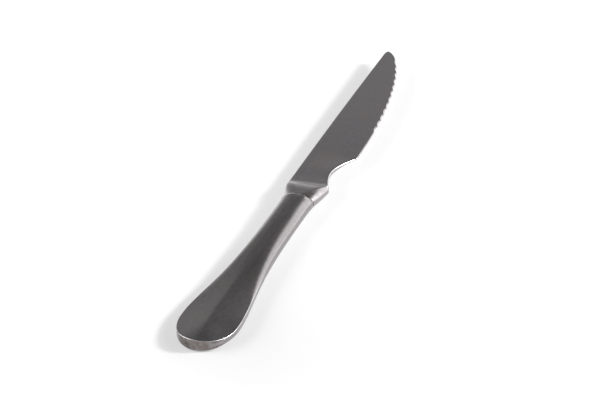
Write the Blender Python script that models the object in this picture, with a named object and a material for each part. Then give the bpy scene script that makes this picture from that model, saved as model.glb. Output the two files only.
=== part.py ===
"""A steak knife with a hollow steel handle, lying on its side.

The blade, its bolster, a spigot and a notched tang are one forging. The handle is two pressed
half shells, welded edge to edge, brazed to the bolster through a thin ring, and filled with
cement that grips the tang.

Units are metres. The knife is drawn with its axis along X, from the butt at 0 to the tip, with
its spine towards +Y and its middle plane at Z = 0. An empty then lays it down: the handle grows
thicker towards the bolster, so a knife that lies on it points its tip a little upwards.
"""

import math

import bmesh
import bpy

# Handle, measured from the butt
HANDLE_LENGTH = 0.1012
BUTT_WIDTH = 0.0216
BUTT_THICKNESS = 0.0050
BUTT_END_LENGTH = 0.0148
BUTT_SQUARENESS = 2.15
FLARE_LENGTH = 0.0290
FLARE_POWER = 1.75
NECK_WIDTH = 0.0118
NECK_THICKNESS = 0.0078
MOUTH_FLARE = 0.0003
MOUTH_FLARE_LENGTH = 0.0060
LAND_WIDTH = 0.0024
END_ROLL_LENGTH = 0.0128
END_ROLL_DROP = 0.00030
RIDGE_POWER = 1.15
END_RIDGE_POWER = 1.7
RIDGE_FADE_LENGTH = 0.0480
SIDE_SQUARENESS = 1.7
GRIP_SQUARENESS = 2.1
GRIP_END = 0.0500
NECK_START = 0.0800
END_SIDE_FLAT = 0.0014
SIDE_FLAT = 0.0024
SIDE_FLAT_LENGTH = 0.0200
NECK_SIDE_FLAT = 0.0012
SIDE_FLAT_INSIDE = 0.0009
BUTT_EDGE_ROUND = 0.00014

# How the handle is put together
SHELL_WALL = 0.0009
SEAM_THICKNESS = 0.0004
BRAZE_LENGTH = 0.0006
BRAZE_RECESS = 0.0003
JOINT_STEP = 0.00035
SPINE_STEP = 0.00012
FIT_GAP = 0.0001

# Spigot and tang, measured back from the bolster's shoulder
SPIGOT_LENGTH = 0.006
TANG_LENGTH = 0.045
TANG_WIDTH = 0.0050
TANG_THICKNESS = 0.0030
TANG_ROUND = 0.0006
NOTCH_COUNT = 3
NOTCH_LENGTH = 0.0040
NOTCH_PITCH = 0.0110
NOTCH_DEPTH = 0.0007

# Bolster and blade, measured forward from the bolster's shoulder
BLADE_LENGTH = 0.1270
BOLSTER_LENGTH = 0.0185
BOLSTER_KNEE_AT = 0.0106
BOLSTER_SLOPE_POWER = 1.1
BOLSTER_SKEW = 0.11
SPINE_RISE_LENGTH = 0.0098
BOLSTER_HEEL_AT = 0.0113
BOLSTER_HEEL_DEPTH = 0.0083
BOLSTER_HEEL_SOFTNESS = 0.00025
BOLSTER_FLANK_BOW = 0.35
HEEL_CHAMFER = 0.0013
HEEL_CHAMFER_POWER = 1.6
HEEL_CHAMFER_END = 0.0025
HEEL_RIM = 0.0005
HEEL_SQUARENESS = 1.5
CHOIL_AT = 0.0233
CHOIL_DEPTH = 0.0049
CHOIL_POWER = 1.75
CHOIL_THICKNESS = 0.0015
CHOIL_ROUND = 0.0007
HEEL_AT = 0.0379
HEEL_DEPTH = 0.0103
SPINE_HEIGHT = 0.0079
SPINE_CROWN = 0.0003
SPINE_THICKNESS = 0.0021
TIP_THICKNESS = 0.0012
SPINE_ROUND = 0.0003
MOST_ROUND = 0.45
EDGE_STRAIGHTNESS = 2.2
EDGE_FULLNESS = 0.615
TIP_HEIGHT = 0.0070
TIP_ROUND = 0.0038
EDGE_THICKNESS = 0.0002
EDGE_SHOULDER = 0.0006
PLAIN_BEVEL = 0.0003
SCALLOP_BEVEL = 0.0004
BEVEL_SQUARENESS = 0.9

# Scallops ground into the cutting edge, set out back from the point
SCALLOP_COUNT = 12
SCALLOP_PITCH = 0.00506
SCALLOP_DEPTH = 0.00045
POINT_TO_SCALLOPS = 0.00628

# How finely the shapes are divided
LEVELS = 5
FLARE_STEPS = 14
END_STEPS = 10
SPIGOT_STEPS = 3
BOLSTER_STEPS = 12
CHOIL_STEPS = 17
PLAIN_EDGE_STEPS = 5
SCALLOP_STEPS = 4
POINT_STEPS = 8
POINT_LAST_ANGLE = math.radians(88)
SHARP_ANGLE = math.radians(35)
SAME_POINT = 1e-6

SHOULDER = HANDLE_LENGTH
MOUTH = SHOULDER - BRAZE_LENGTH - 2 * FIT_GAP
SPIGOT_END = SHOULDER - SPIGOT_LENGTH
TANG_END = SPIGOT_END - TANG_LENGTH
LAND = LAND_WIDTH / 2
NECK_HALF = NECK_WIDTH / 2
MOUTH_HALF = NECK_HALF + MOUTH_FLARE
BUTT_HALF = BUTT_WIDTH / 2
TAPER = (NECK_THICKNESS - BUTT_THICKNESS) / 2 / HANDLE_LENGTH
SCALLOPS_END = BLADE_LENGTH - POINT_TO_SCALLOPS
SCALLOPS_START = SCALLOPS_END - SCALLOP_COUNT * SCALLOP_PITCH


def mix(first, second, share):
    return first + (second - first) * share


def clamp(value):
    return min(1.0, max(0.0, value))


def ease(share):
    """A smooth step from 0 to 1, level at both ends."""
    return share * share * (3 - 2 * share)


def quarter(angle, squareness):
    """A point on a quarter of a squared circle: (1, 0) at angle 0, (0, 1) at a right angle."""
    across = max(0.0, math.cos(angle)) ** (2 / squareness)
    up = max(0.0, math.sin(angle)) ** (2 / squareness)
    return across, up


def level_angles():
    """The angles of a rounded side's points, from the side up to the flat land."""
    return [math.pi / 2 * level / LEVELS for level in range(LEVELS + 1)]


def spread(start, end, steps):
    return [mix(start, end, step / steps) for step in range(steps + 1)]


# The handle's form

def handle_half_width(x):
    """Half the handle's width without the rounded butt. It widens to the butt, and a little at its mouth."""
    if x < BUTT_END_LENGTH:
        return BUTT_HALF
    flare = math.exp(-((x - BUTT_END_LENGTH) / FLARE_LENGTH) ** FLARE_POWER)
    lip = clamp(1 - (MOUTH - x) / MOUTH_FLARE_LENGTH)
    return mix(NECK_HALF, BUTT_HALF, flare) + MOUTH_FLARE * lip ** 2


def handle_half_thickness(x):
    """The handle thins evenly to the butt, and rolls off at its very end."""
    roll = clamp(1 - x / END_ROLL_LENGTH)
    return BUTT_THICKNESS / 2 + TAPER * x - END_ROLL_DROP * roll ** 2


def roundness(x):
    """0 where the handle's section is a low roof, at the butt, and 1 where it is a rounded bar."""
    return ease(clamp((x - BUTT_END_LENGTH) / RIDGE_FADE_LENGTH))


def section_squareness(x):
    """The rounded bar has a flatter top in the grip than at the neck."""
    to_neck = ease(clamp((x - GRIP_END) / (NECK_START - GRIP_END)))
    return mix(GRIP_SQUARENESS, SIDE_SQUARENESS, to_neck)


def side_rim(x, inset):
    """Half the height of the flat side, low at both ends of the handle and on the inner skins."""
    flat = mix(END_SIDE_FLAT, SIDE_FLAT, ease(clamp(x / SIDE_FLAT_LENGTH)))
    outside = mix(flat, NECK_SIDE_FLAT, roundness(x))
    return mix(outside, SIDE_FLAT_INSIDE, inset / SHELL_WALL) / 2


def handle_crown(x, y, inset):
    """The height of the handle's face above the middle plane, inset below the outer skin."""
    reach = handle_half_width(x) - inset - LAND
    beyond = clamp((abs(y) - LAND) / reach)
    roof = 1 - beyond ** mix(END_RIDGE_POWER, RIDGE_POWER, ease(clamp(x / END_ROLL_LENGTH)))
    squareness = section_squareness(x)
    bar = (1 - beyond ** squareness) ** (1 / squareness)
    rise = mix(roof, bar, roundness(x))
    return mix(side_rim(x, inset), handle_half_thickness(x) - inset, rise)


def rib_ends(front, inset):
    """Plan points of ribs from the side in to the flat land, from the front round to the butt's end."""
    ribs = []
    for x in spread(front, BUTT_END_LENGTH, FLARE_STEPS):
        ribs.append(((x, handle_half_width(x) - inset), (x, LAND)))
    for angle in spread(0, math.pi / 2, END_STEPS)[1:]:
        side, along = quarter(angle, BUTT_SQUARENESS)
        outer = (BUTT_END_LENGTH - (BUTT_END_LENGTH - inset) * along, (BUTT_HALF - inset) * side)
        inner = (BUTT_END_LENGTH - (BUTT_END_LENGTH - END_ROLL_LENGTH) * along, LAND * side)
        ribs.append((outer, inner))
    return ribs


def rib_points(outer, inner, inset):
    """Points on one rib's rounded rise, from the side flat to the land."""
    wall = handle_crown(*outer, inset)
    edge_round = min(BUTT_EDGE_ROUND, wall - side_rim(outer[0], inset))
    length = math.dist(outer, inner)
    points = []
    for angle in level_angles():
        share = 1 - quarter(angle, SIDE_SQUARENESS)[0]
        x = mix(outer[0], inner[0], share)
        y = mix(outer[1], inner[1], share)
        into_round = max(0.0, edge_round - share * length)
        drop = edge_round - math.sqrt(max(0.0, edge_round ** 2 - into_round ** 2))
        points.append((x, y, handle_crown(x, y, inset) - drop))
    return points


def handle_rows(front, inset, parting):
    """Rows of points over one face of the handle, each row round the butt from side to side.

    The first row lies at the parting height, and the last row bounds the flat land.
    """
    ribs = []
    for outer, inner in rib_ends(front, inset):
        ribs.append([(*outer, parting)] + rib_points(outer, inner, inset))
    far_side = [[(x, -y, z) for x, y, z in rib] for rib in reversed(ribs[:-1])]
    return list(zip(*(ribs + far_side)))


# Rings of points for lofted pieces

def side_points(x, land, side, rim, squareness, thickness):
    """Points on one rounded side of a section, from its land out to its rim, above the middle plane."""
    points = []
    for angle in reversed(level_angles()):
        out, up = quarter(angle, squareness)
        y = mix(land, side, out)
        points.append((x, y, mix(rim, thickness(y), up)))
    return points


def closed_ring(high_side, low_side):
    """A whole section from the upper points of its two sides."""
    over = list(reversed(low_side)) + high_side
    under = [(x, y, -z) for x, y, z in reversed(over)]
    return over + under


def handle_ring(x, inset):
    """The handle's section near its mouth, inset below its skin."""
    half = handle_half_width(x) - inset

    def thickness(y):
        return handle_half_thickness(x) - inset

    side = side_points(x, LAND, half, side_rim(x, inset), SIDE_SQUARENESS, thickness)
    return closed_ring(side, [(x, -y, z) for x, y, z in side])


def tang_ring(x, width, grow):
    half = width / 2 + grow

    def thickness(y):
        return TANG_THICKNESS / 2 + grow

    rim = TANG_THICKNESS / 2 - TANG_ROUND
    side = side_points(x, half - TANG_ROUND, half, rim, 2, thickness)
    return closed_ring(side, [(x, -y, z) for x, y, z in side])


def tang_rings(grow):
    """The notched tang from its end to the spigot, grown on all sides to cut its own slot."""
    rings = [tang_ring(TANG_END - grow, TANG_WIDTH, grow)]
    for notch in range(NOTCH_COUNT):
        start = TANG_END + NOTCH_PITCH * (notch + 1) - NOTCH_LENGTH
        waist = TANG_WIDTH - 2 * NOTCH_DEPTH
        for x, width in (
            (start + grow, TANG_WIDTH),
            (start + grow, waist),
            (start + NOTCH_LENGTH - grow, waist),
            (start + NOTCH_LENGTH - grow, TANG_WIDTH),
        ):
            rings.append(tang_ring(x, width, grow))
    return rings


# The blade's form, by distance from the bolster's shoulder

def edge_line(along):
    """The cutting edge before the scallops are ground."""
    share = clamp((along - HEEL_AT) / (BLADE_LENGTH - HEEL_AT))
    return TIP_HEIGHT - (TIP_HEIGHT + HEEL_DEPTH) * (1 - share ** EDGE_STRAIGHTNESS) ** EDGE_FULLNESS


def scallop(along):
    """How deep into a scallop a place on the edge lies: 0 at its ends, 1 in its middle."""
    place = (along - SCALLOPS_START) / SCALLOP_PITCH
    if not 0 < place < SCALLOP_COUNT:
        return 0.0
    return 1 - (2 * (place % 1.0) - 1) ** 2


def spine_line(along):
    """The spine's slight curve from the bolster to the point."""
    share = clamp((along - SPINE_RISE_LENGTH) / (BLADE_LENGTH - SPINE_RISE_LENGTH))
    return SPINE_HEIGHT + SPINE_CROWN * math.sin(math.pi * share)


def spine_side(along):
    """The upper side: it widens over the bolster, runs nearly straight, and rounds down to the tip."""
    if along < SPINE_RISE_LENGTH:
        return mix(MOUTH_HALF - SPINE_STEP, SPINE_HEIGHT, ease(along / SPINE_RISE_LENGTH))
    into = clamp((along - BLADE_LENGTH) / TIP_ROUND + 1)
    return mix(TIP_HEIGHT, spine_line(along), math.sqrt(1 - into ** 2))


def belly_side(along):
    """The lower side: the bolster's heel, the choil, and then the edge to the point."""
    if along <= CHOIL_AT:
        share = along / BOLSTER_HEEL_AT
        flank = -mix(MOUTH_HALF, BOLSTER_HEEL_DEPTH, share * (1 + BOLSTER_FLANK_BOW * (1 - share)))
        share = (CHOIL_AT - along) / (CHOIL_AT - BOLSTER_HEEL_AT)
        notch = -mix(CHOIL_DEPTH, BOLSTER_HEEL_DEPTH, share ** CHOIL_POWER)
        return (flank + notch + math.hypot(flank - notch, BOLSTER_HEEL_SOFTNESS)) / 2
    if along <= HEEL_AT:
        share = (along - CHOIL_AT) / (HEEL_AT - CHOIL_AT)
        return -mix(CHOIL_DEPTH, HEEL_DEPTH, share ** CHOIL_POWER)
    return edge_line(along) + SCALLOP_DEPTH * scallop(along)


def blade_half_thickness(along, y):
    """The blade's flat grind: it thins from the spine to the edge, and from the bolster to the point."""
    spine = mix(SPINE_THICKNESS, TIP_THICKNESS, along / BLADE_LENGTH)
    shoulder = mix(CHOIL_THICKNESS, EDGE_SHOULDER, ease(clamp((along - CHOIL_AT) / (HEEL_AT - CHOIL_AT))))
    share = (y - edge_line(along)) / (SPINE_HEIGHT - edge_line(along))
    return mix(shoulder, spine, clamp(share)) / 2


def bolster_swell(along):
    """How much of the neck's thickness the bolster still has: 1 at the shoulder, 0 on the blade.

    Its face starts level and steepens up to a knee, and then a fillet levels it out.
    """
    fillet = BOLSTER_LENGTH - BOLSTER_KNEE_AT
    before = clamp(along / BOLSTER_KNEE_AT)
    left = 1 - clamp((along - BOLSTER_KNEE_AT) / fillet)
    knee_drop = BOLSTER_KNEE_AT / (1 + BOLSTER_SLOPE_POWER)
    drop = knee_drop * before ** (1 + BOLSTER_SLOPE_POWER) + fillet / 3 * (1 - left ** 3)
    return 1 - drop / (knee_drop + fillet / 3)


def blade_ring(along, ground):
    """A section of the bolster or the blade. A ground section ends in the edge's bevel."""
    fade = ease(clamp(along / BOLSTER_LENGTH))
    to_heel = clamp(along / BOLSTER_HEEL_AT)
    past_heel = ease(clamp((along - BOLSTER_HEEL_AT) / HEEL_CHAMFER_END))
    high, low = spine_side(along), belly_side(along)
    most = (high - low) * MOST_ROUND

    def thickness(y):
        swell = bolster_swell(along + BOLSTER_SKEW * y)
        return mix(blade_half_thickness(along, y), NECK_THICKNESS / 2 - JOINT_STEP, swell)

    def square_rim(y):
        return thickness(y) - SPINE_ROUND / 2

    x = SHOULDER + along
    spine_round = min(mix(MOUTH_HALF - SPINE_STEP - LAND, SPINE_ROUND, fade), most)
    spine_rim = mix(NECK_SIDE_FLAT / 2, square_rim(high), fade)
    spine = side_points(x, high - spine_round, high, spine_rim, mix(SIDE_SQUARENESS, 2, fade), thickness)
    if ground:
        bevel = min(mix(PLAIN_BEVEL, SCALLOP_BEVEL, scallop(along)), most)
        belly = side_points(x, low + bevel, low, EDGE_THICKNESS / 2, BEVEL_SQUARENESS, thickness)
    else:
        heel_round = mix(MOUTH_HALF - LAND, HEEL_CHAMFER, to_heel ** HEEL_CHAMFER_POWER)
        belly_round = min(mix(heel_round, SPINE_ROUND, past_heel), most)
        heel_rim = min(mix(NECK_SIDE_FLAT / 2, HEEL_RIM, to_heel), square_rim(low))
        choil_rim = max(thickness(low) - CHOIL_ROUND / 2, thickness(low) / 2)
        belly_rim = mix(heel_rim, choil_rim, past_heel)
        squareness = mix(SIDE_SQUARENESS, HEEL_SQUARENESS, to_heel)
        belly = side_points(x, low + belly_round, low, belly_rim, squareness, thickness)
    return closed_ring(spine, belly)


def ground_stations():
    """Where the sections of the ground blade lie, close together over the scallops and the point."""
    point_start = BLADE_LENGTH - TIP_ROUND
    stations = spread(HEEL_AT, SCALLOPS_START, PLAIN_EDGE_STEPS)
    stations += spread(SCALLOPS_START, SCALLOPS_END, SCALLOP_COUNT * SCALLOP_STEPS)[1:]
    for angle in spread(0, POINT_LAST_ANGLE, POINT_STEPS):
        stations.append(point_start + TIP_ROUND * math.sin(angle))
    return stations


# Mesh building

def add_points(mesh, points):
    return [mesh.verts.new(point) for point in points]


def bridge(mesh, first, second, closed):
    """Faces between two rows of as many vertices."""
    count = len(first)
    for place in range(count if closed else count - 1):
        after = (place + 1) % count
        mesh.faces.new((first[place], first[after], second[after], second[place]))


def close_land(mesh, row):
    """Faces across the flat land, whose boundary runs down one side and back up the other."""
    middle = len(row) // 2
    for place in range(middle - 1):
        mesh.faces.new((row[place], row[place + 1], row[-2 - place], row[-1 - place]))
    mesh.faces.new((row[middle - 1], row[middle], row[middle + 1]))


def add_skin(mesh, rows):
    """One face of the handle as a grid that ends in its flat land."""
    grid = [add_points(mesh, row) for row in rows]
    for first, second in zip(grid, grid[1:]):
        bridge(mesh, first, second, closed=False)
    close_land(mesh, grid[-1])
    return grid


def front_edge(grid):
    """The vertices of a grid's front end, over the top from the low side to the high side."""
    return [row[-1] for row in grid] + [row[0] for row in reversed(grid)]


def finish(name, mesh, material, parent):
    bmesh.ops.remove_doubles(mesh, verts=mesh.verts, dist=SAME_POINT)
    bmesh.ops.recalc_face_normals(mesh, faces=mesh.faces)
    data = bpy.data.meshes.new(name)
    mesh.to_mesh(data)
    mesh.free()
    data.shade_smooth()
    data.set_sharp_from_angle(angle=SHARP_ANGLE)
    data.materials.append(material)
    piece = bpy.data.objects.new(name, data)
    piece.parent = parent
    bpy.context.scene.collection.objects.link(piece)


def loft(mesh, rings):
    """A skin over closed rings, and the rings as vertices."""
    placed = [add_points(mesh, ring) for ring in rings]
    for first, second in zip(placed, placed[1:]):
        bridge(mesh, first, second, closed=True)
    return placed


def make_material(name, color, roughness, metallic):
    material = bpy.data.materials.new(name)
    material.use_nodes = True
    shader = material.node_tree.nodes["Principled BSDF"]
    shader.inputs["Base Color"].default_value = (*color, 1.0)
    shader.inputs["Roughness"].default_value = roughness
    shader.inputs["Metallic"].default_value = metallic
    return material


# The pieces

def make_blade(parent):
    rings = tang_rings(0.0)
    rings.append(tang_ring(SPIGOT_END, TANG_WIDTH, 0.0))
    for x in spread(SPIGOT_END, SHOULDER, SPIGOT_STEPS):
        rings.append(handle_ring(x, SHELL_WALL + FIT_GAP))
    for along in spread(0, BOLSTER_HEEL_AT, BOLSTER_STEPS):
        rings.append(blade_ring(along, ground=False))
    for along in spread(BOLSTER_HEEL_AT, HEEL_AT, CHOIL_STEPS)[1:]:
        rings.append(blade_ring(along, ground=False))
    for along in ground_stations():
        rings.append(blade_ring(along, ground=True))
    mesh = bmesh.new()
    placed = loft(mesh, rings)
    mesh.faces.new(placed[0])
    mesh.faces.new(placed[-1])
    finish("blade", mesh, make_material("blade_steel", (0.40, 0.39, 0.395), 0.2, 1.0), parent)


def make_shell(name, up, parent):
    """One half shell: an outer skin, an inner skin, and the edges between them."""
    parting = SEAM_THICKNESS / 2 + FIT_GAP
    mesh = bmesh.new()
    skins = []
    for inset in (0.0, SHELL_WALL):
        rows = handle_rows(MOUTH, inset, parting)
        skins.append(add_skin(mesh, [[(x, y, up * z) for x, y, z in row] for row in rows]))
    outer, inner = skins
    bridge(mesh, outer[0], inner[0], closed=False)
    bridge(mesh, front_edge(outer), front_edge(inner), closed=False)
    finish(name, mesh, make_material(name + "_steel", (0.33, 0.325, 0.325), 0.2, 1.0), parent)


def make_seam_weld(parent):
    """A strip along the shells' edges, round the butt from mouth to mouth."""
    half = SEAM_THICKNESS / 2
    outer = handle_rows(MOUTH, 0.0, half)[0]
    inner = handle_rows(MOUTH, SHELL_WALL, half)[0]
    rings = []
    for (x, y, z), (inner_x, inner_y, _) in zip(outer, inner):
        rings.append([(x, y, -z), (x, y, z), (inner_x, inner_y, z), (inner_x, inner_y, -z)])
    mesh = bmesh.new()
    placed = loft(mesh, rings)
    mesh.faces.new(placed[0])
    mesh.faces.new(placed[-1])
    finish("seam_weld", mesh, make_material("weld_steel", (0.32, 0.315, 0.31), 0.2, 1.0), parent)


def make_collar_braze(parent):
    """The thin ring round the spigot's root, set a little below the handle's skin."""
    front = SHOULDER - FIT_GAP
    back = front - BRAZE_LENGTH
    rings = [
        handle_ring(front, BRAZE_RECESS),
        handle_ring(back, BRAZE_RECESS),
        handle_ring(back, SHELL_WALL),
        handle_ring(front, SHELL_WALL),
    ]
    mesh = bmesh.new()
    placed = loft(mesh, rings)
    bridge(mesh, placed[-1], placed[0], closed=True)
    finish("collar_braze", mesh, make_material("braze_silver", (0.42, 0.41, 0.39), 0.48, 1.0), parent)


def make_filler(parent):
    """The cement core, open at its front where the tang enters."""
    front = SPIGOT_END - FIT_GAP
    rows = handle_rows(front, SHELL_WALL + FIT_GAP, 0.0)[1:]
    mesh = bmesh.new()
    upper = add_skin(mesh, rows)
    lower = add_skin(mesh, [[(x, y, -z) for x, y, z in row] for row in rows])
    bridge(mesh, upper[0], lower[0], closed=False)
    slot = [tang_ring(front, TANG_WIDTH, FIT_GAP)] + list(reversed(tang_rings(FIT_GAP)))
    placed = loft(mesh, slot)
    mouth = front_edge(upper) + list(reversed(front_edge(lower)))
    bridge(mesh, mouth, placed[0], closed=True)
    mesh.faces.new(placed[-1])
    finish("handle_filler", mesh, make_material("filler_cement", (0.45, 0.43, 0.40), 0.9, 0.0), parent)


def lay_down():
    """An empty that turns the handle's lower land level and centres the knife over the origin."""
    tilt = math.atan(TAPER)
    lying = bpy.data.objects.new("lying_knife", None)
    lying.rotation_euler = (0, -tilt, 0)
    middle = (HANDLE_LENGTH + BLADE_LENGTH) / 2 * math.cos(tilt)
    lying.location = (-middle, 0, BUTT_THICKNESS / 2 * math.cos(tilt))
    bpy.context.scene.collection.objects.link(lying)
    return lying


def main():
    for leftover in list(bpy.data.objects):
        bpy.data.objects.remove(leftover)
    knife = lay_down()
    make_blade(knife)
    make_shell("handle_shell_upper", 1, knife)
    make_shell("handle_shell_lower", -1, knife)
    make_seam_weld(knife)
    make_collar_braze(knife)
    make_filler(knife)


main()
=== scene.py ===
"""How the steak knife looks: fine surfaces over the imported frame, its dark satin steel, and the studio.

Each piece is drawn in the knife's own frame, in metres: X runs from the butt at 0 to the point, Y to
the spine, and Z out of the face that lies upwards. lie_down() then puts it where the solids are.
"""

import math

import bmesh
import bpy
from mathutils import Matrix, Vector


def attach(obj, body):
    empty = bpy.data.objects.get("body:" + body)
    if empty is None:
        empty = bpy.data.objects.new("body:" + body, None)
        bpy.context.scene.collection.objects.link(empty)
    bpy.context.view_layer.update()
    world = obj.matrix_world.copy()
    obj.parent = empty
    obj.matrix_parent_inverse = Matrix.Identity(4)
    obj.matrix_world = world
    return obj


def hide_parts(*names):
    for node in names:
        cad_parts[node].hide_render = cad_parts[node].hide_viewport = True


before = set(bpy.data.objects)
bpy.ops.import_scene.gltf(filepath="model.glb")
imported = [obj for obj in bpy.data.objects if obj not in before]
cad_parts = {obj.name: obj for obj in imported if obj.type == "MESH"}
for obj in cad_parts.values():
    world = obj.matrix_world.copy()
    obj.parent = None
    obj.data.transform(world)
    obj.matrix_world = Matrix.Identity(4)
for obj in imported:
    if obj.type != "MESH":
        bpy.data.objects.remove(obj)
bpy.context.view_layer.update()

# Handle, measured from the butt
HANDLE_LENGTH = 0.1012
BUTT_WIDTH = 0.0216
BUTT_THICKNESS = 0.0050
BUTT_END_LENGTH = 0.0148
BUTT_SQUARENESS = 2.15
FLARE_LENGTH = 0.0290
FLARE_POWER = 1.75
NECK_WIDTH = 0.0118
NECK_THICKNESS = 0.0078
MOUTH_FLARE = 0.0003
MOUTH_FLARE_LENGTH = 0.0060
LAND_WIDTH = 0.0024
END_ROLL_LENGTH = 0.0128
END_ROLL_DROP = 0.00030
RIDGE_POWER = 1.15
END_RIDGE_POWER = 1.7
RIDGE_SOFTNESS = 0.05
RIDGE_FADE_LENGTH = 0.0480
SIDE_SQUARENESS = 1.7
GRIP_SQUARENESS = 2.1
GRIP_END = 0.0500
NECK_START = 0.0800
END_SIDE_FLAT = 0.0014
SIDE_FLAT = 0.0024
SIDE_FLAT_LENGTH = 0.0200
NECK_SIDE_FLAT = 0.0012
SIDE_FLAT_INSIDE = 0.0009
EDGE_ROUND = 0.00016
EDGE_WEAR_WIDTH = 0.00015
LEAST_EDGE_ROUND = 0.00004
RIB_FOCUS = 0.008

# How the handle is put together
SHELL_WALL = 0.0009
SEAM_HALF = 0.0003
GROOVE_LENGTH = 0.0008
RIM_ROUND = 0.00024
BEAD_GAP = 0.00006
BEAD_RECESS = 0.00016
BEAD_FLUSH_BELOW = 0.0018
BEAD_DEEP_ABOVE = 0.0035
JOINT_STEP = 0.00035
SPINE_STEP = 0.00012
FIT_GAP = 0.0001

# Spigot and tang, measured back from the bolster's shoulder
SPIGOT_LENGTH = 0.006
TANG_LENGTH = 0.045
TANG_WIDTH = 0.0050
TANG_THICKNESS = 0.0030
TANG_ROUND = 0.0006
NOTCH_COUNT = 3
NOTCH_LENGTH = 0.0040
NOTCH_PITCH = 0.0110
NOTCH_DEPTH = 0.0007

# Bolster and blade, measured forward from the bolster's shoulder
BLADE_LENGTH = 0.1270
BOLSTER_LENGTH = 0.0185
BOLSTER_KNEE_AT = 0.0106
BOLSTER_SLOPE_POWER = 1.1
BOLSTER_SKEW = 0.11
SPINE_RISE_LENGTH = 0.0098
BOLSTER_HEEL_AT = 0.0113
BOLSTER_HEEL_DEPTH = 0.0083
BOLSTER_HEEL_SOFTNESS = 0.00025
BOLSTER_FLANK_BOW = 0.35
HEEL_CHAMFER = 0.0013
HEEL_CHAMFER_END = 0.0025
HEEL_RIM = 0.0005
HEEL_SQUARENESS = 1.5
HEEL_CHAMFER_POWER = 1.6
CHOIL_AT = 0.0233
CHOIL_DEPTH = 0.0049
CHOIL_POWER = 1.75
HEEL_AT = 0.0379
HEEL_DEPTH = 0.0103
SPINE_HEIGHT = 0.0079
SPINE_CROWN = 0.0003
SPINE_THICKNESS = 0.0021
TIP_THICKNESS = 0.0012
SPINE_ROUND = 0.0003
MOST_ROUND = 0.45
EDGE_STRAIGHTNESS = 2.2
EDGE_FULLNESS = 0.615
TIP_HEIGHT = 0.0070
TIP_ROUND = 0.0038
EDGE_THICKNESS = 0.0002
EDGE_SHOULDER = 0.0006
CHOIL_THICKNESS = 0.0015
CHOIL_ROUND = 0.0007
PLAIN_BEVEL = 0.0003
SCALLOP_BEVEL = 0.0004
BEVEL_HOLLOW = 0.9

# Scallops ground into the cutting edge, set out back from the point
SCALLOP_COUNT = 12
SCALLOP_PITCH = 0.00506
SCALLOP_DEPTH = 0.00045
POINT_TO_SCALLOPS = 0.00628

# How finely the shapes are divided
EDGE_STEPS = 5
CROWN_STEPS = 36
FLARE_STEPS = 48
END_STEPS = 32
RIM_STEPS = 4
ROUND_STEPS = 8
FACE_STEPS = 12
BOLSTER_STEPS = 66
CHOIL_STEPS = 60
HEEL_STEPS = 3
PLAIN_EDGE_STEPS = 20
SCALLOP_STEPS = 12
POINT_STEPS = 20
POINT_LAST_ANGLE = math.radians(87)
BEAD_STEPS = 8
SPIGOT_STEPS = 10
SHARP_ANGLE = math.radians(40)
PARTING_ANGLE = math.radians(75)
SAME_POINT = 1e-7

# Edges rounder than the first curvature are not worn, and those sharper than the second are, in 1/m
PLAIN_CURVATURE = 700.0
WORN_CURVATURE = 2600.0

# How squarely a surface faces the butt's end where that end's finish starts, and where it is full
END_WALL_FROM = 0.35
END_WALL_FULL = 0.65

# What follows from the sizes
SHOULDER = HANDLE_LENGTH
MOUTH = SHOULDER - GROOVE_LENGTH
SPIGOT_END = SHOULDER - SPIGOT_LENGTH
TANG_END = SPIGOT_END - TANG_LENGTH
LAND = LAND_WIDTH / 2
NECK_HALF = NECK_WIDTH / 2
NECK_RIM = NECK_SIDE_FLAT / 2
MOUTH_HALF = NECK_HALF + MOUTH_FLARE
SPINE_START = MOUTH_HALF - SPINE_STEP
BUTT_HALF = BUTT_WIDTH / 2
TAPER = (NECK_THICKNESS - BUTT_THICKNESS) / 2 / HANDLE_LENGTH
BEVEL_START = HEEL_AT + PLAIN_BEVEL / 2
SCALLOPS_END = BLADE_LENGTH - POINT_TO_SCALLOPS
SCALLOPS_START = SCALLOPS_END - SCALLOP_COUNT * SCALLOP_PITCH

RIGHT_ANGLE = math.pi / 2
CIRCLE_SQUARENESS = 2

# The camera, fitted to the knife's outline in a picture 600 pixels wide
PICTURE_WIDTH = 600
FOCAL_PIXELS = 2360.3
SENSOR_WIDTH = 36.0
CAMERA_AZIMUTH = math.radians(-69.529)
CAMERA_ELEVATION = math.radians(30.14)
CAMERA_DISTANCE = 0.8930
CAMERA_TARGET = Vector((-0.00522, 0.00207, 0.0))


def mix(first, second, share):
    return first + (second - first) * share


def clamp(value):
    return min(1.0, max(0.0, value))


def ease(share):
    """A smooth step from 0 to 1, level at both ends."""
    return share * share * (3 - 2 * share)


def spread(start, end, steps):
    return [mix(start, end, step / steps) for step in range(steps + 1)]


def quarter(angle, squareness):
    """A point on a quarter of a squared circle: (1, 0) at angle 0, (0, 1) at a right angle."""
    power = CIRCLE_SQUARENESS / squareness
    return max(0.0, math.cos(angle)) ** power, max(0.0, math.sin(angle)) ** power


# The handle's form

def handle_half_width(x):
    """Half the width without the butt's rounded end. It grows to the butt, and a little to the mouth."""
    if x < BUTT_END_LENGTH:
        return BUTT_HALF
    flare = math.exp(-((x - BUTT_END_LENGTH) / FLARE_LENGTH) ** FLARE_POWER)
    lip = clamp(1 - (MOUTH - x) / MOUTH_FLARE_LENGTH)
    return mix(NECK_HALF, BUTT_HALF, flare) + MOUTH_FLARE * lip ** 2


def handle_half_thickness(x):
    """The handle thins evenly to the butt, and rolls off at its very end."""
    roll = clamp(1 - x / END_ROLL_LENGTH)
    return BUTT_THICKNESS / 2 + TAPER * x - END_ROLL_DROP * roll ** 2


def roundness(x):
    """0 where the handle's section is a low roof, at the butt, and 1 where it is a rounded bar."""
    return ease(clamp((x - BUTT_END_LENGTH) / RIDGE_FADE_LENGTH))


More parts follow.
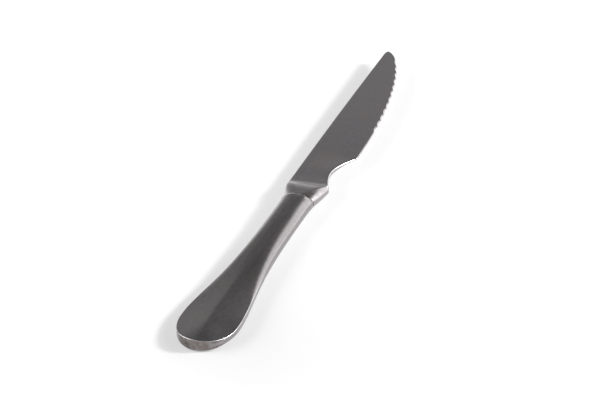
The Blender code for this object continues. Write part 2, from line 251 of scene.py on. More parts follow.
def section_squareness(x):
    """The rounded bar has a flatter top in the grip than at the neck."""
    to_neck = ease(clamp((x - GRIP_END) / (NECK_START - GRIP_END)))
    return mix(GRIP_SQUARENESS, SIDE_SQUARENESS, to_neck)


def side_rim(x, inset):
    """Half the height of the flat side, low at both ends of the handle and on the inner skins."""
    flat = mix(END_SIDE_FLAT, SIDE_FLAT, ease(clamp(x / SIDE_FLAT_LENGTH)))
    outside = mix(flat, NECK_SIDE_FLAT, roundness(x))
    return mix(outside, SIDE_FLAT_INSIDE, inset / SHELL_WALL) / 2


def roof_fall(x, share):
    """How far a low roof with a soft ridge has come down: 0 at the ridge, 1 at the side.

    Towards the end of the butt the roof turns into an even curve.
    """
    power = mix(END_RIDGE_POWER, RIDGE_POWER, ease(clamp(x / END_ROLL_LENGTH)))
    ridge = RIDGE_SOFTNESS ** power
    fall = (share ** 2 + RIDGE_SOFTNESS ** 2) ** (power / 2) - ridge
    most = (1 + RIDGE_SOFTNESS ** 2) ** (power / 2) - ridge
    return fall / most


def handle_crown(x, y, inset):
    """The height of the handle's face above the middle plane, inset below the outer skin."""
    half = handle_half_width(x) - inset
    beyond = clamp((abs(y) - LAND) / (half - LAND))
    squareness = section_squareness(x)
    bar = (1 - beyond ** squareness) ** (1 / squareness)
    rise = mix(1 - roof_fall(x, clamp(abs(y) / half)), bar, roundness(x))
    return mix(side_rim(x, inset), handle_half_thickness(x) - inset, rise)


def rib_ends(inset, rim):
    """Plan points of ribs, from the side in to the middle line, and each rib's inset.

    They run from the mouth, whose rim is rounded, round to the end of the butt.
    """
    ribs = []
    for angle in spread(RIGHT_ANGLE, 0, RIM_STEPS)[:-1]:
        x = MOUTH - rim * (1 - math.sin(angle))
        deeper = inset + rim * (1 - math.cos(angle))
        ribs.append(((x, handle_half_width(x) - deeper), (x, 0.0), deeper))
    for x in spread(MOUTH - rim, BUTT_END_LENGTH, FLARE_STEPS):
        ribs.append(((x, handle_half_width(x) - inset), (x, 0.0), inset))
    for angle in spread(0, RIGHT_ANGLE, END_STEPS)[1:]:
        side, along = quarter(angle, BUTT_SQUARENESS)
        outer = (BUTT_END_LENGTH - (BUTT_END_LENGTH - inset) * along, (BUTT_HALF - inset) * side)
        inner = (BUTT_END_LENGTH - (BUTT_END_LENGTH - RIB_FOCUS) * along, 0.0)
        ribs.append((outer, inner, inset))
    return ribs


def rib_points(outer, inner, inset):
    """Points up one rib: the side wall, its rounded edge, and the rise to the middle line."""
    wall = handle_crown(*outer, inset)
    fading_round = mix(EDGE_ROUND, 0.0, roundness(outer[0]))
    edge = max(LEAST_EDGE_ROUND, min(fading_round, wall - SEAM_HALF))
    length = math.dist(outer, inner)
    reaches = [edge * (1 - math.cos(angle)) for angle in spread(0, RIGHT_ANGLE, EDGE_STEPS)]
    for angle in spread(0, math.pi, CROWN_STEPS)[1:]:
        reaches.append(mix(edge, length, (1 - math.cos(angle)) / 2))
    points = [(*outer, SEAM_HALF), (*outer, max(SEAM_HALF, wall - edge - EDGE_WEAR_WIDTH))]
    for reach in reaches:
        x = mix(outer[0], inner[0], reach / length)
        y = mix(outer[1], inner[1], reach / length)
        into_edge = max(0.0, edge - reach)
        drop = edge - math.sqrt(max(0.0, edge ** 2 - into_edge ** 2))
        points.append((x, y, handle_crown(x, y, inset) - drop))
    return points


def handle_rows(inset, rim):
    """Rows of points over one face of the handle, each round the butt from side to side.

    The first row lies at the seam, and the last row runs up the middle line and back.
    """
    ribs = [rib_points(*ends) for ends in rib_ends(inset, rim)]
    far_side = [[(x, -y, z) for x, y, z in rib] for rib in reversed(ribs[:-1])]
    return list(zip(*(ribs + far_side)))


# Sections of the forging

def half_section(high, low, rounds, rims, squareness, thickness):
    """Upper points (y, z) of a section from its high side to its low side.

    rounds, rims and squareness are pairs for the two sides: how far each side's rounding reaches in,
    the height that it starts from at the side itself, and how square it is.
    """
    points = []
    for angle in spread(0, RIGHT_ANGLE, ROUND_STEPS):
        out, up = quarter(angle, squareness[0])
        y = high - rounds[0] * (1 - out)
        points.append((y, mix(rims[0], thickness(y), up)))
    for y in spread(high - rounds[0], low + rounds[1], FACE_STEPS)[1:-1]:
        points.append((y, thickness(y)))
    for angle in spread(RIGHT_ANGLE, 0, ROUND_STEPS):
        out, up = quarter(angle, squareness[1])
        y = low + rounds[1] * (1 - out)
        points.append((y, mix(rims[1], thickness(y), up)))
    return points


def closed_ring(x, half):
    over = [(x, y, z) for y, z in half]
    under = [(x, y, -z) for y, z in reversed(half)]
    return over + under


def neck_ring(x, inset):
    """A section with the handle's own form near its mouth, inset below its skin."""
    half_width = handle_half_width(x) - inset
    half_height = handle_half_thickness(x) - inset
    rounds = (half_width - LAND,) * 2
    rims = (side_rim(x, inset),) * 2
    squareness = (SIDE_SQUARENESS,) * 2
    half = half_section(half_width, -half_width, rounds, rims, squareness, lambda y: half_height)
    return closed_ring(x, half)


def tang_ring(x, width):
    rounds = (TANG_ROUND,) * 2
    rims = (TANG_THICKNESS / 2 - TANG_ROUND,) * 2
    squareness = (CIRCLE_SQUARENESS,) * 2
    half = half_section(width / 2, -width / 2, rounds, rims, squareness, lambda y: TANG_THICKNESS / 2)
    return closed_ring(x, half)


def tang_rings():
    """The notched tang from its end to the spigot."""
    rings = [tang_ring(TANG_END, TANG_WIDTH)]
    waist = TANG_WIDTH - 2 * NOTCH_DEPTH
    for notch in range(NOTCH_COUNT):
        end = TANG_END + NOTCH_PITCH * (notch + 1)
        start = end - NOTCH_LENGTH
        for x, width in ((start, TANG_WIDTH), (start, waist), (end, waist), (end, TANG_WIDTH)):
            rings.append(tang_ring(x, width))
    rings.append(tang_ring(SPIGOT_END, TANG_WIDTH))
    return rings


# The blade's form, by distance from the bolster's shoulder

def edge_line(along):
    """The cutting edge before the scallops are ground."""
    share = clamp((along - HEEL_AT) / (BLADE_LENGTH - HEEL_AT))
    return TIP_HEIGHT - (TIP_HEIGHT + HEEL_DEPTH) * (1 - share ** EDGE_STRAIGHTNESS) ** EDGE_FULLNESS


def scallop(along):
    """How deep into a scallop a place on the edge lies: 0 at its ends, 1 in its middle."""
    place = (along - SCALLOPS_START) / SCALLOP_PITCH
    if not 0 < place < SCALLOP_COUNT:
        return 0.0
    return 1 - (2 * (place % 1.0) - 1) ** 2


def spine_line(along):
    """The spine's slight curve from the bolster to the point."""
    share = clamp((along - SPINE_RISE_LENGTH) / (BLADE_LENGTH - SPINE_RISE_LENGTH))
    return SPINE_HEIGHT + SPINE_CROWN * math.sin(math.pi * share)


def spine_side(along):
    """The upper side: it widens over the bolster, runs nearly straight, and rounds down to the tip."""
    if along < SPINE_RISE_LENGTH:
        return mix(SPINE_START, SPINE_HEIGHT, ease(along / SPINE_RISE_LENGTH))
    into = clamp((along - BLADE_LENGTH) / TIP_ROUND + 1)
    return mix(TIP_HEIGHT, spine_line(along), math.sqrt(1 - into ** 2))


def belly_side(along):
    """The lower side: the bolster's heel, the choil, and then the edge to the point."""
    if along <= CHOIL_AT:
        to_heel = along / BOLSTER_HEEL_AT
        bowed = to_heel * (1 + BOLSTER_FLANK_BOW * (1 - to_heel))
        flank = -mix(MOUTH_HALF, BOLSTER_HEEL_DEPTH, bowed)
        to_choil = (CHOIL_AT - along) / (CHOIL_AT - BOLSTER_HEEL_AT)
        notch = -mix(CHOIL_DEPTH, BOLSTER_HEEL_DEPTH, to_choil ** CHOIL_POWER)
        # The higher of the two lines, with a soft corner where they cross
        return (flank + notch + math.hypot(flank - notch, BOLSTER_HEEL_SOFTNESS)) / 2
    if along <= HEEL_AT:
        past_choil = (along - CHOIL_AT) / (HEEL_AT - CHOIL_AT)
        return -mix(CHOIL_DEPTH, HEEL_DEPTH, past_choil ** CHOIL_POWER)
    return edge_line(along) + SCALLOP_DEPTH * scallop(along)


def blade_half_thickness(along, y):
    """The blade's flat grind: it thins from the spine to the edge, and from the bolster to the point."""
    spine = mix(SPINE_THICKNESS, TIP_THICKNESS, along / BLADE_LENGTH)
    past_choil = clamp((along - CHOIL_AT) / (HEEL_AT - CHOIL_AT))
    shoulder = mix(CHOIL_THICKNESS, EDGE_SHOULDER, ease(past_choil))
    share = (y - edge_line(along)) / (SPINE_HEIGHT - edge_line(along))
    return mix(shoulder, spine, clamp(share)) / 2


def bolster_swell(along):
    """How much of the neck's thickness the bolster still has: 1 at the shoulder, 0 on the blade.

    Its face starts level and steepens up to a knee, and then a fillet levels it out. The slope grows
    with BOLSTER_SLOPE_POWER before the knee, and shrinks with the square of what is left of the fillet.
    """
    fillet = BOLSTER_LENGTH - BOLSTER_KNEE_AT
    before = clamp(along / BOLSTER_KNEE_AT)
    left = 1 - clamp((along - BOLSTER_KNEE_AT) / fillet)
    knee_drop = BOLSTER_KNEE_AT / (1 + BOLSTER_SLOPE_POWER)
    fillet_drop = fillet / 3
    drop = knee_drop * before ** (1 + BOLSTER_SLOPE_POWER) + fillet_drop * (1 - left ** 3)
    return 1 - drop / (knee_drop + fillet_drop)


def blade_ring(along):
    """A section of the bolster or the blade. Past the heel its lower side is ground to an edge."""
    ground = ease(clamp((along - HEEL_AT) / (BEVEL_START - HEEL_AT)))
    fade = ease(clamp(along / BOLSTER_LENGTH))
    to_heel = clamp(along / BOLSTER_HEEL_AT)
    past_heel = ease(clamp((along - BOLSTER_HEEL_AT) / HEEL_CHAMFER_END))
    high, low = spine_side(along), belly_side(along)

    def thickness(y):
        swell = bolster_swell(along + BOLSTER_SKEW * y)
        return mix(blade_half_thickness(along, y), NECK_THICKNESS / 2 - JOINT_STEP, swell)

    def square_rim(y):
        return thickness(y) - SPINE_ROUND / 2

    most = (high - low) * MOST_ROUND
    spine_round = mix(SPINE_START - LAND, SPINE_ROUND, fade)
    flank_round = mix(MOUTH_HALF - LAND, HEEL_CHAMFER, to_heel ** HEEL_CHAMFER_POWER)
    belly_round = mix(flank_round, SPINE_ROUND, past_heel)
    bevel = mix(PLAIN_BEVEL, SCALLOP_BEVEL, scallop(along))
    rounds = (min(spine_round, most), min(mix(belly_round, bevel, ground), most))

    spine_rim = mix(NECK_RIM, square_rim(high), fade)
    heel_rim = min(mix(NECK_RIM, HEEL_RIM, to_heel), square_rim(low))
    choil_rim = max(thickness(low) - CHOIL_ROUND / 2, thickness(low) / 2)
    belly_rim = mix(heel_rim, choil_rim, past_heel)
    rims = (spine_rim, mix(belly_rim, EDGE_THICKNESS / 2, ground))

    spine_squareness = mix(SIDE_SQUARENESS, CIRCLE_SQUARENESS, fade)
    belly_squareness = mix(SIDE_SQUARENESS, HEEL_SQUARENESS, to_heel)
    squareness = (spine_squareness, mix(belly_squareness, BEVEL_HOLLOW, ground))
    return closed_ring(SHOULDER + along, half_section(high, low, rounds, rims, squareness, thickness))


def blade_rings():
    """Sections from the bolster's shoulder to the point."""
    stretches = (
        (0.0, BOLSTER_LENGTH, BOLSTER_STEPS),
        (BOLSTER_LENGTH, HEEL_AT, CHOIL_STEPS),
        (HEEL_AT, BEVEL_START, HEEL_STEPS),
        (BEVEL_START, SCALLOPS_START, PLAIN_EDGE_STEPS),
        (SCALLOPS_START, SCALLOPS_END, SCALLOP_COUNT * SCALLOP_STEPS),
    )
    places = [0.0]
    for start, end, steps in stretches:
        places += spread(start, end, steps)[1:]
    for angle in spread(0, POINT_LAST_ANGLE, POINT_STEPS):
        places.append(BLADE_LENGTH - TIP_ROUND + TIP_ROUND * math.sin(angle))
    return [blade_ring(along) for along in places]


# Mesh building

def add_points(mesh, points):
    return [mesh.verts.new(point) for point in points]


def bridge(mesh, first, second, closed):
    """Faces between two rows of as many vertices."""
    count = len(first)
    for place in range(count if closed else count - 1):
        after = (place + 1) % count
        mesh.faces.new((first[place], first[after], second[after], second[place]))


def loft(mesh, rings):
    """Rings of vertices, with faces from each to the next."""
    placed = [add_points(mesh, ring) for ring in rings]
    for first, second in zip(placed, placed[1:]):
        bridge(mesh, first, second, closed=True)
    return placed


def capped_loft(rings):
    """A closed body through the rings, with a face over each end."""
    mesh = bmesh.new()
    placed = loft(mesh, rings)
    mesh.faces.new(placed[0])
    mesh.faces.new(placed[-1])
    return mesh


def add_skin(mesh, rows):
    """One face of the handle as a grid that closes along its middle line."""
    grid = [add_points(mesh, row) for row in rows]
    for first, second in zip(grid, grid[1:]):
        bridge(mesh, first, second, closed=False)
    return grid


def front_edge(grid):
    """The vertices of a grid's front end, over the top from the low side to the high side."""
    return [row[-1] for row in grid] + [row[0] for row in reversed(grid)]


def lie_down():
    """The matrix that turns the handle's lower face level and centres the knife over the origin."""
    tilt = math.atan(TAPER)
    middle = (HANDLE_LENGTH + BLADE_LENGTH) / 2 * math.cos(tilt)
    place = Vector((-middle, 0, BUTT_THICKNESS / 2 * math.cos(tilt)))
    return Matrix.Translation(place) @ Matrix.Rotation(-tilt, 4, "Y")


def curvature(edge):
    """How sharply the surface bends outwards over an edge, in 1/m, or 0 where pieces meet."""
    bend = edge.calc_face_angle_signed(0.0)
    if len(edge.link_faces) != 2 or bend > PARTING_ANGLE:
        return 0.0
    first, second = (face.calc_center_median() for face in edge.link_faces)
    return bend / max((first - second).length, SAME_POINT)


def note_wear(mesh):
    """Marks each vertex with how worn its edge is, and with how squarely it faces the butt's end."""
    worn = mesh.verts.layers.float.new("edge_wear")
    end = mesh.verts.layers.float.new("end_wall")
    for vertex in mesh.verts:
        sharpest = max((curvature(edge) for edge in vertex.link_edges), default=0.0)
        vertex[worn] = clamp((sharpest - PLAIN_CURVATURE) / (WORN_CURVATURE - PLAIN_CURVATURE))
        vertex[end] = ease(clamp((-vertex.normal.x - END_WALL_FROM) / (END_WALL_FULL - END_WALL_FROM)))


def make_piece(name, mesh, material):
    """Finishes a mesh as a piece that stands for the node of the same name."""
    bmesh.ops.remove_doubles(mesh, verts=mesh.verts, dist=SAME_POINT)
    bmesh.ops.recalc_face_normals(mesh, faces=mesh.faces)
    bmesh.ops.transform(mesh, matrix=lie_down(), verts=mesh.verts)
    mesh.normal_update()
    note_wear(mesh)
    data = bpy.data.meshes.new(name + "_surface")
    mesh.to_mesh(data)
    mesh.free()
    data.shade_smooth()
    data.set_sharp_from_angle(angle=SHARP_ANGLE)
    data.materials.append(material)
    piece = bpy.data.objects.new(name + "_surface", data)
    bpy.context.scene.collection.objects.link(piece)
    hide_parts(name)
    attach(piece, "root")


# The pieces

def make_blade(material):
    rings = tang_rings()
    for x in spread(SPIGOT_END, SHOULDER, SPIGOT_STEPS):
        rings.append(neck_ring(x, SHELL_WALL + FIT_GAP))
    make_piece("blade", capped_loft(rings + blade_rings()), material)


def make_shell(name, up, material):
    """One half shell: an outer skin with a rounded mouth, an inner skin, and the edges between them.

    up is 1 for the upper half and -1 for the lower one.
    """
    mesh = bmesh.new()
    skins = []
    for inset, rim in ((0.0, RIM_ROUND), (SHELL_WALL, 0.0)):
        rows = [[(x, y, up * z) for x, y, z in row] for row in handle_rows(inset, rim)]
        skins.append(add_skin(mesh, rows))
    outer, inner = skins
    bridge(mesh, outer[0], inner[0], closed=False)
    bridge(mesh, front_edge(outer), front_edge(inner), closed=False)
    make_piece(name, mesh, material)


def make_seam_weld(material):
    """The strip along the shells' edges, ground flush with them."""
    outer = handle_rows(0.0, RIM_ROUND)[0]
    inner = handle_rows(SHELL_WALL, 0.0)[0]
    rings = []
    for (x, y, z), (inner_x, inner_y, _) in zip(outer, inner):
        rings.append([(x, y, -z), (x, y, z), (inner_x, inner_y, z), (inner_x, inner_y, -z)])
    make_piece("seam_weld", capped_loft(rings), material)


def bead_ring(x, fullness):
    """A section of the bead. It is recessed in the top and bottom faces, and flush at the sides."""
    ring = []
    deep = neck_ring(x, mix(SHELL_WALL, BEAD_RECESS, fullness))
    flush = neck_ring(x, mix(SHELL_WALL, 0.0, fullness))
    for low_point, high_point in zip(deep, flush):
        height = abs(high_point[2])
        recessed = ease(clamp((height - BEAD_FLUSH_BELOW) / (BEAD_DEEP_ABOVE - BEAD_FLUSH_BELOW)))
        ring.append([mix(high, low, recessed) for low, high in zip(low_point, high_point)])
    return ring


def make_collar_braze(material):
    """A half-round bead of braze in the groove between the bolster and the shells."""
    front, back = SHOULDER - BEAD_GAP, MOUTH + BEAD_GAP
    middle, half = (front + back) / 2, (front - back) / 2
    rings = [neck_ring(back, SHELL_WALL), neck_ring(front, SHELL_WALL)]
    for angle in spread(0, math.pi, BEAD_STEPS):
        rings.append(bead_ring(middle + half * math.cos(angle), math.sin(angle)))
    mesh = bmesh.new()
    placed = loft(mesh, rings)
    bridge(mesh, placed[-1], placed[0], closed=True)
    make_piece("collar_braze", mesh, material)


# Materials

# Where most of a noise lies, and how many finer layers it has
NOISE_LOW = 0.3
NOISE_HIGH = 0.7
SOFT_DETAIL = 2.0
PLAIN_DETAIL = 3.0
RICH_DETAIL = 4.0
BUSY_DETAIL = 5.0


def add_node(tree, kind, **settings):
    node = tree.nodes.new(kind)
    for name, value in settings.items():
        setattr(node, name, value)
    return node


def feed(tree, socket, value):
    """Links an output to a socket, or sets the socket to a plain value."""
    if isinstance(value, bpy.types.NodeSocket):
        tree.links.new(value, socket)
    else:
        socket.default_value = value


def combine(tree, operation, first, second):
    node = add_node(tree, "ShaderNodeMath", operation=operation, use_clamp=True)
    feed(tree, node.inputs[0], first)
    feed(tree, node.inputs[1], second)
    return node.outputs[0]


def noise(tree, size, detail=PLAIN_DETAIL, stretch=(1.0, 1.0, 1.0)):
    """Noise from 0 to 1 whose lumps are about one size across, in metres, before they are stretched."""
    place = add_node(tree, "ShaderNodeTexCoord")
    mapping = add_node(tree, "ShaderNodeMapping")
    mapping.inputs["Scale"].default_value = [1 / (size * share) for share in stretch]
    texture = add_node(tree, "ShaderNodeTexNoise")
    texture.inputs["Scale"].default_value = 1.0
    texture.inputs["Detail"].default_value = detail
    tree.links.new(place.outputs["Object"], mapping.inputs["Vector"])
    tree.links.new(mapping.outputs["Vector"], texture.inputs["Vector"])
    return texture.outputs[0]


def remap(tree, value, low, high, from_low=NOISE_LOW, from_high=NOISE_HIGH):
    """Spreads a value, by default a noise, over a range."""
    node = add_node(tree, "ShaderNodeMapRange")
    feed(tree, node.inputs["Value"], value)
    node.inputs["From Min"].default_value = from_low
    node.inputs["From Max"].default_value = from_high
    node.inputs["To Min"].default_value = low
    node.inputs["To Max"].default_value = high
    return node.outputs["Result"]


def blend_colors(tree, share, first, second):
    node = add_node(tree, "ShaderNodeMix", data_type="RGBA")
    factor, first_socket, second_socket = (
        next(socket for socket in node.inputs if socket.identifier == identifier)
        for identifier in ("Factor_Float", "A_Color", "B_Color")
    )
    feed(tree, factor, share)
    feed(tree, first_socket, first)
    feed(tree, second_socket, second)
    return next(socket for socket in node.outputs if socket.identifier == "Result_Color")


def attribute(tree, name):
    return add_node(tree, "ShaderNodeAttribute", attribute_name=name).outputs["Fac"]


def bump(tree, height, depth):
    """A bump that raises the surface by up to a depth, in metres."""
    node = add_node(tree, "ShaderNodeBump")
    node.inputs["Strength"].default_value = 1.0
    node.inputs["Distance"].default_value = depth
    tree.links.new(height, node.inputs["Height"])
    return node.outputs["Normal"]


def new_material(name, metallic):
    material = bpy.data.materials.new(name)
    material.use_nodes = True
    shader = material.node_tree.nodes["Principled BSDF"]
    shader.inputs["Metallic"].default_value = metallic
    return material, material.node_tree, shader.inputs


def grey(level, tint=(1.0, 1.0, 1.0)):
    return (level * tint[0], level * tint[1], level * tint[2], 1.0)


WHITE = grey(1.0)
WARM = (1.05, 0.967, 0.965)
COOL = (1.0, 0.967, 1.01)

# Satin steel, with the sizes of its patterns in metres
CLOUD_SIZE = 0.007
MOTTLE_SIZE = 0.0016
MOTTLE_DARKEST = 0.93
MOTTLE_LIGHTEST = 1.07
MOTTLE_SMOOTHEST = 0.85
MOTTLE_ROUGHEST = 1.2
END_GREY = grey(0.265, (1.0, 0.97, 0.95))
END_BROWN = (0.148, 0.112, 0.102, 1.0)
GRAIN_SIZE = 0.00022
GRAIN_SHARE = 0.6
BRUSH_SIZE = 0.00016
BRUSH_STRETCH = (40.0, 1.0, 1.0)
BRUSH_SHARE = 0.4
GRAIN_DEPTH = 0.0000012
WORN_STEEL = grey(0.62)
WEAR_PATCH_SIZE = 0.0025
WEAR_LEAST_SHARE = 0.7
WEAR_ROUGHNESS = 0.25

# How much the colour is scaled by X in the shared frame: 1 at the butt, and darkest along the grip
GRIP_TONE = 0.72
BLADE_TONE = 0.87
BUTT_TONE_UNTIL = -0.100
GRIP_TONE_FROM = -0.066
GRIP_TONE_UNTIL = -0.040
BLADE_TONE_FROM = 0.004

# Braze
BRAZE_DARK = grey(0.36, WARM)
BRAZE_LIGHT = (0.48, 0.47, 0.45, 1.0)
BRAZE_SMOOTHEST = 0.42
BRAZE_ROUGHEST = 0.55
RIPPLE_SIZE = 0.0009
RIPPLE_DEPTH = 0.00002

# Cement
CEMENT_DARK = (0.36, 0.34, 0.31, 1.0)
CEMENT_LIGHT = (0.54, 0.52, 0.48, 1.0)
CEMENT_SMOOTHEST = 0.8
CEMENT_ROUGHEST = 0.95
SAND_SIZE = 0.0005
SAND_DEPTH = 0.00008
# Small voids are darker patches: painted shade in holes that the surface doesn't have
VOID_SHADE_COLOR = (0.22, 0.21, 0.19, 1.0)
VOID_SIZE = 0.0022
VOID_FULL = 0.28
VOID_NONE = 0.36


def tone_along(tree, color):
    """Darkens a colour along the grip and, less, along the blade."""
    along = add_node(tree, "ShaderNodeSeparateXYZ")
    feed(tree, along.inputs[0], add_node(tree, "ShaderNodeTexCoord").outputs["Object"])
    x = along.outputs["X"]
    tone = remap(tree, x, 1.0, GRIP_TONE, BUTT_TONE_UNTIL, GRIP_TONE_FROM)
    rise = remap(tree, x, 0.0, BLADE_TONE - GRIP_TONE, GRIP_TONE_UNTIL, BLADE_TONE_FROM)
    scale = add_node(tree, "ShaderNodeVectorMath", operation="SCALE")
    feed(tree, scale.inputs[0], color)
    feed(tree, scale.inputs["Scale"], combine(tree, "ADD", tone, rise))
    return scale.outputs["Vector"]


def satin_steel(name, level, roughness, wear):
    """Dark satin steel: soft warm and cool clouds, a fine blasted grain, and edges rubbed bright.

    It is darkest along the grip. The end of the butt, where the finish is thin, is mottled brown.
    """
    material, tree, inputs = new_material(name, metallic=1.0)
    clouds = remap(tree, noise(tree, CLOUD_SIZE), 0.0, 1.0)
    mottle = noise(tree, MOTTLE_SIZE, RICH_DETAIL)
    dark, light = (
        blend_colors(tree, clouds, grey(level * share, COOL), grey(level * share, WARM))
        for share in (MOTTLE_DARKEST, MOTTLE_LIGHTEST)
    )
    body = tone_along(tree, blend_colors(tree, remap(tree, mottle, 0.0, 1.0), dark, light))
    browned = remap(tree, noise(tree, MOTTLE_SIZE, BUSY_DETAIL), 0.0, 1.0)
    end = blend_colors(tree, browned, END_GREY, END_BROWN)
    body = blend_colors(tree, attribute(tree, "end_wall"), body, end)

    patches = remap(tree, noise(tree, WEAR_PATCH_SIZE), wear * WEAR_LEAST_SHARE, wear)
    worn = combine(tree, "MULTIPLY", attribute(tree, "edge_wear"), patches)
    feed(tree, inputs["Base Color"], blend_colors(tree, worn, body, WORN_STEEL))

    satin = remap(tree, mottle, roughness * MOTTLE_SMOOTHEST, roughness * MOTTLE_ROUGHEST)
    rubbed = combine(tree, "MULTIPLY", worn, WEAR_ROUGHNESS)
    feed(tree, inputs["Roughness"], combine(tree, "ADD", satin, rubbed))

    grain = noise(tree, GRAIN_SIZE, SOFT_DETAIL)
    brushed = noise(tree, BRUSH_SIZE, SOFT_DETAIL, BRUSH_STRETCH)
    grain = combine(tree, "MULTIPLY", grain, GRAIN_SHARE)
    brushed = combine(tree, "MULTIPLY", brushed, BRUSH_SHARE)
    feed(tree, inputs["Normal"], bump(tree, combine(tree, "ADD", grain, brushed), GRAIN_DEPTH))
    return material


def silver_braze():
    """Bright braze with the slight ripple of a bead that ran and froze."""
    material, tree, inputs = new_material("silver_braze", metallic=1.0)
    ripple = noise(tree, RIPPLE_SIZE)
    feed(tree, inputs["Base Color"], blend_colors(tree, ripple, BRAZE_DARK, BRAZE_LIGHT))
    feed(tree, inputs["Roughness"], remap(tree, ripple, BRAZE_SMOOTHEST, BRAZE_ROUGHEST))
    feed(tree, inputs["Normal"], bump(tree, ripple, RIPPLE_DEPTH))
    return material


def cement():
    """Pale set cement, with sand grains, and small voids as darker patches that paint the shade in their
    holes.
    """
    material, tree, inputs = new_material("set_cement", metallic=0.0)
    sand = noise(tree, SAND_SIZE, RICH_DETAIL)
    voids = remap(tree, noise(tree, VOID_SIZE, SOFT_DETAIL), 1.0, 0.0, VOID_FULL, VOID_NONE)
    plain = blend_colors(tree, sand, CEMENT_DARK, CEMENT_LIGHT)
    feed(tree, inputs["Base Color"], blend_colors(tree, voids, plain, VOID_SHADE_COLOR))
    feed(tree, inputs["Roughness"], remap(tree, sand, CEMENT_SMOOTHEST, CEMENT_ROUGHEST))
    feed(tree, inputs["Normal"], bump(tree, sand, SAND_DEPTH))
    return material


# The studio

FLOOR_SIZE = 12.0
FLOOR_COLOR = (0.5, 0.5, 0.5, 1.0)
FLOOR_GLOW = 0.49

# The floor glows less in a soft spot round the butt: a painted shadow that deepens the shade there
PAINTED_SHADOW_GLOW = 0.345
PAINTED_SHADOW_PLACE = (-0.108, -0.014, 0.0)
PAINTED_SHADOW_CORE = 0.01
PAINTED_SHADOW_REACH = 0.08

LAMP_DISTANCE = 2.4
FILL_DISTANCE = 0.5

# Radiance of the room by the sine of the elevation: bright near the floor, two light bands at about
# 29 and 37 degrees, and dim overhead
ROOM_LEVELS = (
    (0.0, 0.62),
    (0.10, 0.56),
    (0.18, 0.43),
    (0.25, 0.34),
    (0.326, 0.28),
    (0.438, 0.30),
    (0.469, 0.39),
    (0.508, 0.39),
    (0.53, 0.26),
    (0.545, 0.19),
    (0.565, 0.175),
    (0.60, 0.28),
    (0.63, 0.21),
    (0.67, 0.12),
    (0.8, 0.085),
    (1.0, 0.11),
)


def white_floor():
    """A grey that catches shadows, and glows to the camera and in reflections to read as white."""
    material, tree, inputs = new_material("white_floor", metallic=0.0)
    inputs["Base Color"].default_value = FLOOR_COLOR
    inputs["Roughness"].default_value = 1.0
    inputs["Specular IOR Level"].default_value = 0.0
    inputs["Emission Color"].default_value = WHITE
    path = add_node(tree, "ShaderNodeLightPath").outputs
    seen = combine(tree, "MAXIMUM", path["Is Camera Ray"], path["Is Glossy Ray"])
    seen = combine(tree, "MAXIMUM", seen, path["Is Transmission Ray"])
    # The glow is lower round the butt, which paints a deeper shadow there
    away = add_node(tree, "ShaderNodeVectorMath", operation="DISTANCE")
    feed(tree, away.inputs[0], add_node(tree, "ShaderNodeTexCoord").outputs["Object"])
    feed(tree, away.inputs[1], PAINTED_SHADOW_PLACE)
    glow_with_painted_shadow = remap(tree, away.outputs["Value"], PAINTED_SHADOW_GLOW, FLOOR_GLOW, PAINTED_SHADOW_CORE, PAINTED_SHADOW_REACH)
    feed(tree, inputs["Emission Strength"], combine(tree, "MULTIPLY", seen, glow_with_painted_shadow))
    return material


def make_floor():
    mesh = bmesh.new()
    bmesh.ops.create_grid(mesh, x_segments=1, y_segments=1, size=FLOOR_SIZE / 2)
    data = bpy.data.meshes.new("floor")
    mesh.to_mesh(data)
    mesh.free()
    data.materials.append(white_floor())
    floor = bpy.data.objects.new("floor", data)
    bpy.context.scene.collection.objects.link(floor)


def make_world():
    """A room of grey bands, which the steel reflects."""
    world = bpy.data.worlds.new("studio")
    world.use_nodes = True
    tree = world.node_tree
    place = add_node(tree, "ShaderNodeTexCoord")
    split = add_node(tree, "ShaderNodeSeparateXYZ")
    ramp = add_node(tree, "ShaderNodeValToRGB")
    feed(tree, split.inputs[0], place.outputs["Generated"])
    feed(tree, ramp.inputs["Fac"], split.outputs["Z"])
    stops = ramp.color_ramp.elements
    stops.remove(stops[1])
    stops[0].position, level = ROOM_LEVELS[0]
    stops[0].color = grey(level)
    for position, level in ROOM_LEVELS[1:]:
        stops.new(position).color = grey(level)
    feed(tree, tree.nodes["Background"].inputs["Color"], ramp.outputs["Color"])
    bpy.context.scene.world = world


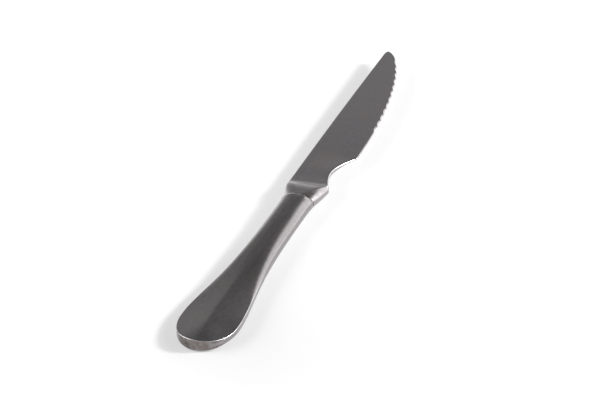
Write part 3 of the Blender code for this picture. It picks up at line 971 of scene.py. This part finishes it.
def make_lamp(name, azimuth, elevation, width, height, radiance, distance=LAMP_DISTANCE):
    """A soft box that faces the knife. Its direction is in degrees.

    Azimuth is measured from the camera's right, away from the camera.
    """
    lamp = bpy.data.lights.new(name, "AREA")
    lamp.shape = "RECTANGLE"
    lamp.size = width
    lamp.size_y = height
    lamp.energy = math.pi * width * height * radiance
    holder = bpy.data.objects.new(name, lamp)
    turn = -CAMERA_AZIMUTH - math.radians(azimuth)
    rise = math.radians(elevation)
    level = Vector((math.cos(turn), -math.sin(turn), 0.0))
    holder.location = distance * (math.cos(rise) * level + math.sin(rise) * Vector((0, 0, 1)))
    holder.rotation_euler = holder.location.to_track_quat("Z", "Y").to_euler()
    bpy.context.scene.collection.objects.link(holder)


def make_camera():
    data = bpy.data.cameras.new("camera")
    data.sensor_width = SENSOR_WIDTH
    data.lens = SENSOR_WIDTH * FOCAL_PIXELS / PICTURE_WIDTH
    camera = bpy.data.objects.new("camera", data)
    back = Vector((
        math.sin(CAMERA_AZIMUTH) * math.cos(CAMERA_ELEVATION),
        -math.cos(CAMERA_AZIMUTH) * math.cos(CAMERA_ELEVATION),
        math.sin(CAMERA_ELEVATION),
    ))
    camera.location = CAMERA_TARGET + CAMERA_DISTANCE * back
    camera.rotation_euler = back.to_track_quat("Z", "Y").to_euler()
    bpy.context.scene.collection.objects.link(camera)
    bpy.context.scene.camera = camera


# Building it all

handle_steel = satin_steel("handle_satin_steel", level=0.374, roughness=0.2, wear=0.8)
blade_steel = satin_steel("blade_satin_steel", level=0.468, roughness=0.19, wear=0.8)
weld_steel = satin_steel("ground_weld_steel", level=0.368, roughness=0.2, wear=0.4)
make_blade(blade_steel)
make_shell("handle_shell_upper", 1, handle_steel)
make_shell("handle_shell_lower", -1, handle_steel)
make_seam_weld(weld_steel)
make_collar_braze(silver_braze())
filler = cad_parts["handle_filler"]
filler.data.materials.clear()
filler.data.materials.append(cement())

make_floor()
make_world()

# The key throws the long shadow and the fill the faint one, and the steel reflects the rest
make_lamp("key", azimuth=0, elevation=28, width=0.38, height=0.38, radiance=130.0)
make_lamp("card", azimuth=34, elevation=19, width=2.3, height=1.65, radiance=1.42)
make_lamp("low_card", azimuth=63, elevation=8, width=0.85, height=0.66, radiance=1.7)
make_lamp("back_card", azimuth=68, elevation=40, width=0.8, height=0.7, radiance=0.07)
make_lamp("strip", azimuth=-14, elevation=33, width=2.0, height=0.6, radiance=4.9)
make_lamp(
    "fill", azimuth=190, elevation=23, width=0.42, height=0.29, radiance=6.0, distance=FILL_DISTANCE
)

make_camera()
bpy.context.scene.view_settings.view_transform = "Standard"
